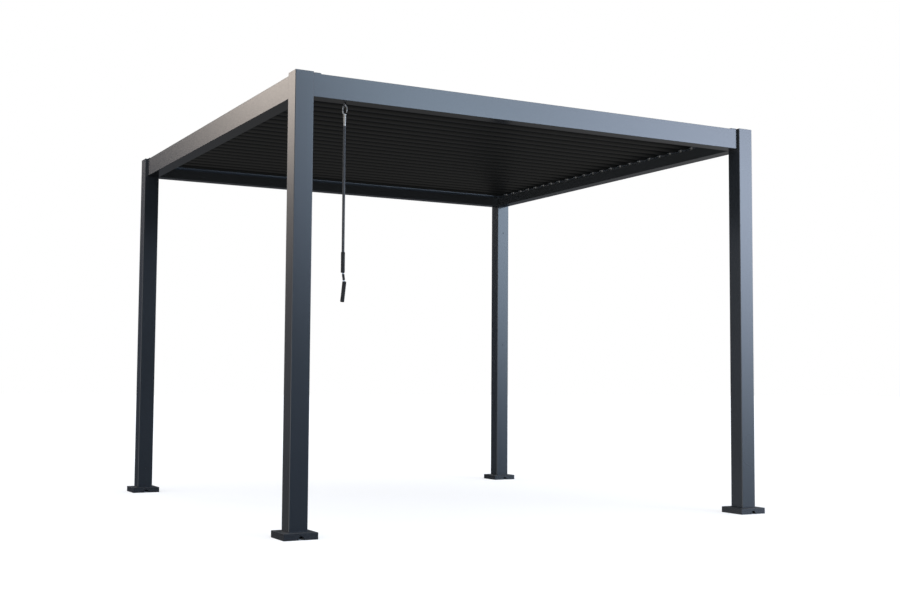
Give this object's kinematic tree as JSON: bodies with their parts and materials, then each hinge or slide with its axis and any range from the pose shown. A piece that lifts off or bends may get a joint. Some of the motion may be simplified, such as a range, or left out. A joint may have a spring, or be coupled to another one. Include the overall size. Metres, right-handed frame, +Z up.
{
  "type": "louvred-roof metal gazebo",
  "caption": "Open square metal gazebo: posts on covered feet carry gutter beams and a roof of tilting louvres, turned together by a hanging hand crank.",
  "frame": {"origin": "on the ground at the centre of the plan", "axes": "+X along the front beam to the right, +Y from the front beam to the rear one, +Z up"},
  "size_m": [3.08, 3.08, 2.345],
  "materials": {
    "frame_coat": "anthracite powder coat on aluminium, fine matt texture",
    "louvre_coat": "anthracite powder coat on aluminium blades",
    "galvanised_steel": "hot-dip galvanised steel plate",
    "foot_cover_coat": "dark powder-coated cover",
    "stainless_pins": "turned stainless steel",
    "aluminium_bar": "mill finish flat bar",
    "gearbox_housing": "die-cast housing, black",
    "gearbox_eye_steel": "blackened steel",
    "hook_steel": "bright zinc-plated steel",
    "crank_tube": "grey coated steel tube",
    "grip_plastic": "black moulded plastic",
    "arm_steel": "zinc-plated steel strip"
  },
  "bodies": {
    "frame": {"front_left_post": "frame_coat", "front_right_post": "frame_coat", "rear_left_post": "frame_coat", "rear_right_post": "frame_coat", "post_caps": "frame_coat", "base_plates": "galvanised_steel", "foot_covers": "foot_cover_coat", "front_beam": "frame_coat", "rear_beam": "frame_coat", "left_beam": "frame_coat", "right_beam": "frame_coat", "beam_end_plates": "frame_coat", "left_pivot_pins": "stainless_pins", "right_pivot_pins": "stainless_pins", "crank_gearbox": "gearbox_housing"},
    "louvre_01": {"louvre_01": "louvre_coat"},
    "louvre_02": {"louvre_02": "louvre_coat"},
    "louvre_03": {"louvre_03": "louvre_coat"},
    "louvre_04": {"louvre_04": "louvre_coat"},
    "louvre_05": {"louvre_05": "louvre_coat"},
    "louvre_06": {"louvre_06": "louvre_coat"},
    "louvre_07": {"louvre_07": "louvre_coat"},
    "louvre_08": {"louvre_08": "louvre_coat"},
    "louvre_09": {"louvre_09": "louvre_coat"},
    "louvre_10": {"louvre_10": "louvre_coat"},
    "louvre_11": {"louvre_11": "louvre_coat"},
    "louvre_12": {"louvre_12": "louvre_coat"},
    "louvre_13": {"louvre_13": "louvre_coat"},
    "louvre_14": {"louvre_14": "louvre_coat"},
    "louvre_15": {"louvre_15": "louvre_coat"},
    "louvre_16": {"louvre_16": "louvre_coat"},
    "louvre_17": {"louvre_17": "louvre_coat"},
    "louvre_18": {"louvre_18": "louvre_coat"},
    "louvre_19": {"louvre_19": "louvre_coat"},
    "louvre_20": {"louvre_20": "louvre_coat"},
    "louvre_21": {"louvre_21": "louvre_coat"},
    "louvre_22": {"louvre_22": "louvre_coat"},
    "louvre_23": {"louvre_23": "louvre_coat"},
    "louvre_24": {"louvre_24": "louvre_coat"},
    "louvre_25": {"louvre_25": "louvre_coat"},
    "link_bar": {"louvre_link_bar": "aluminium_bar"},
    "eye": {"gearbox_eye": "gearbox_eye_steel"},
    "crank": {"crank_hook": "hook_steel", "crank_rod": "crank_tube", "crank_grip": "grip_plastic"},
    "arm": {"crank_arm": "arm_steel"},
    "handle": {"crank_handle": "grip_plastic"}
  },
  "joints": [
    {"name": "louvre_01_turn", "type": "hinge", "parent": "frame", "child": "louvre_01", "pos_m": [0, -1.332, 2.302], "axis": [1, 0, 0], "range_deg": [0, 90]},
    {"name": "louvre_02_turn", "type": "hinge", "parent": "frame", "child": "louvre_02", "pos_m": [0, -1.221, 2.302], "axis": [1, 0, 0], "range_deg": [0, 90]},
    {"name": "louvre_03_turn", "type": "hinge", "parent": "frame", "child": "louvre_03", "pos_m": [0, -1.11, 2.302], "axis": [1, 0, 0], "range_deg": [0, 90]},
    {"name": "louvre_04_turn", "type": "hinge", "parent": "frame", "child": "louvre_04", "pos_m": [0, -0.999, 2.302], "axis": [1, 0, 0], "range_deg": [0, 90]},
    {"name": "louvre_05_turn", "type": "hinge", "parent": "frame", "child": "louvre_05", "pos_m": [0, -0.888, 2.302], "axis": [1, 0, 0], "range_deg": [0, 90]},
    {"name": "louvre_06_turn", "type": "hinge", "parent": "frame", "child": "louvre_06", "pos_m": [0, -0.777, 2.302], "axis": [1, 0, 0], "range_deg": [0, 90]},
    {"name": "louvre_07_turn", "type": "hinge", "parent": "frame", "child": "louvre_07", "pos_m": [0, -0.666, 2.302], "axis": [1, 0, 0], "range_deg": [0, 90]},
    {"name": "louvre_08_turn", "type": "hinge", "parent": "frame", "child": "louvre_08", "pos_m": [0, -0.555, 2.302], "axis": [1, 0, 0], "range_deg": [0, 90]},
    {"name": "louvre_09_turn", "type": "hinge", "parent": "frame", "child": "louvre_09", "pos_m": [0, -0.444, 2.302], "axis": [1, 0, 0], "range_deg": [0, 90]},
    {"name": "louvre_10_turn", "type": "hinge", "parent": "frame", "child": "louvre_10", "pos_m": [0, -0.333, 2.302], "axis": [1, 0, 0], "range_deg": [0, 90]},
    {"name": "louvre_11_turn", "type": "hinge", "parent": "frame", "child": "louvre_11", "pos_m": [0, -0.222, 2.302], "axis": [1, 0, 0], "range_deg": [0, 90]},
    {"name": "louvre_12_turn", "type": "hinge", "parent": "frame", "child": "louvre_12", "pos_m": [0, -0.111, 2.302], "axis": [1, 0, 0], "range_deg": [0, 90]},
    {"name": "louvre_13_turn", "type": "hinge", "parent": "frame", "child": "louvre_13", "pos_m": [0, 0, 2.302], "axis": [1, 0, 0], "range_deg": [0, 90]},
    {"name": "louvre_14_turn", "type": "hinge", "parent": "frame", "child": "louvre_14", "pos_m": [0, 0.111, 2.302], "axis": [1, 0, 0], "range_deg": [0, 90]},
    {"name": "louvre_15_turn", "type": "hinge", "parent": "frame", "child": "louvre_15", "pos_m": [0, 0.222, 2.302], "axis": [1, 0, 0], "range_deg": [0, 90]},
    {"name": "louvre_16_turn", "type": "hinge", "parent": "frame", "child": "louvre_16", "pos_m": [0, 0.333, 2.302], "axis": [1, 0, 0], "range_deg": [0, 90]},
    {"name": "louvre_17_turn", "type": "hinge", "parent": "frame", "child": "louvre_17", "pos_m": [0, 0.444, 2.302], "axis": [1, 0, 0], "range_deg": [0, 90]},
    {"name": "louvre_18_turn", "type": "hinge", "parent": "frame", "child": "louvre_18", "pos_m": [0, 0.555, 2.302], "axis": [1, 0, 0], "range_deg": [0, 90]},
    {"name": "louvre_19_turn", "type": "hinge", "parent": "frame", "child": "louvre_19", "pos_m": [0, 0.666, 2.302], "axis": [1, 0, 0], "range_deg": [0, 90]},
    {"name": "louvre_20_turn", "type": "hinge", "parent": "frame", "child": "louvre_20", "pos_m": [0, 0.777, 2.302], "axis": [1, 0, 0], "range_deg": [0, 90]},
    {"name": "louvre_21_turn", "type": "hinge", "parent": "frame", "child": "louvre_21", "pos_m": [0, 0.888, 2.302], "axis": [1, 0, 0], "range_deg": [0, 90]},
    {"name": "louvre_22_turn", "type": "hinge", "parent": "frame", "child": "louvre_22", "pos_m": [0, 0.999, 2.302], "axis": [1, 0, 0], "range_deg": [0, 90]},
    {"name": "louvre_23_turn", "type": "hinge", "parent": "frame", "child": "louvre_23", "pos_m": [0, 1.11, 2.302], "axis": [1, 0, 0], "range_deg": [0, 90]},
    {"name": "louvre_24_turn", "type": "hinge", "parent": "frame", "child": "louvre_24", "pos_m": [0, 1.221, 2.302], "axis": [1, 0, 0], "range_deg": [0, 90]},
    {"name": "louvre_25_turn", "type": "hinge", "parent": "frame", "child": "louvre_25", "pos_m": [0, 1.332, 2.302], "axis": [1, 0, 0], "range_deg": [0, 90]},
    {"name": "link_bar_pivot", "type": "hinge", "parent": "louvre_01", "child": "link_bar", "pos_m": [-1.421, -1.306, 2.313], "axis": [1, 0, 0], "range_deg": [-90, 0]},
    {"name": "eye_spin", "type": "hinge", "parent": "frame", "child": "eye", "pos_m": [-1.195, -1.421, 2.21], "axis": [0, 0, 1], "continuous": true},
    {"name": "crank_swing", "type": "hinge", "parent": "eye", "child": "crank", "pos_m": [-1.195, -1.421, 2.2061], "axis": [1, 0, 0], "range_deg": [-45, 45]},
    {"name": "arm_fold", "type": "hinge", "parent": "crank", "child": "arm", "pos_m": [-1.195, -1.421, 1.3449], "axis": [0, -1, 0], "range_deg": [-8, 82]},
    {"name": "handle_fold", "type": "hinge", "parent": "arm", "child": "handle", "pos_m": [-1.18623, -1.421, 1.28251], "axis": [0, 1, 0], "range_deg": [-14, 76]}
  ],
  "couplings": [
    {"joint": "louvre_02_turn", "follows": "louvre_01_turn", "ratio": 1},
    {"joint": "louvre_03_turn", "follows": "louvre_01_turn", "ratio": 1},
    {"joint": "louvre_04_turn", "follows": "louvre_01_turn", "ratio": 1},
    {"joint": "louvre_05_turn", "follows": "louvre_01_turn", "ratio": 1},
    {"joint": "louvre_06_turn", "follows": "louvre_01_turn", "ratio": 1},
    {"joint": "louvre_07_turn", "follows": "louvre_01_turn", "ratio": 1},
    {"joint": "louvre_08_turn", "follows": "louvre_01_turn", "ratio": 1},
    {"joint": "louvre_09_turn", "follows": "louvre_01_turn", "ratio": 1},
    {"joint": "louvre_10_turn", "follows": "louvre_01_turn", "ratio": 1},
    {"joint": "louvre_11_turn", "follows": "louvre_01_turn", "ratio": 1},
    {"joint": "louvre_12_turn", "follows": "louvre_01_turn", "ratio": 1},
    {"joint": "louvre_13_turn", "follows": "louvre_01_turn", "ratio": 1},
    {"joint": "louvre_14_turn", "follows": "louvre_01_turn", "ratio": 1},
    {"joint": "louvre_15_turn", "follows": "louvre_01_turn", "ratio": 1},
    {"joint": "louvre_16_turn", "follows": "louvre_01_turn", "ratio": 1},
    {"joint": "louvre_17_turn", "follows": "louvre_01_turn", "ratio": 1},
    {"joint": "louvre_18_turn", "follows": "louvre_01_turn", "ratio": 1},
    {"joint": "louvre_19_turn", "follows": "louvre_01_turn", "ratio": 1},
    {"joint": "louvre_20_turn", "follows": "louvre_01_turn", "ratio": 1},
    {"joint": "louvre_21_turn", "follows": "louvre_01_turn", "ratio": 1},
    {"joint": "louvre_22_turn", "follows": "louvre_01_turn", "ratio": 1},
    {"joint": "louvre_23_turn", "follows": "louvre_01_turn", "ratio": 1},
    {"joint": "louvre_24_turn", "follows": "louvre_01_turn", "ratio": 1},
    {"joint": "louvre_25_turn", "follows": "louvre_01_turn", "ratio": 1},
    {"joint": "link_bar_pivot", "follows": "louvre_01_turn", "ratio": -1}
  ]
}
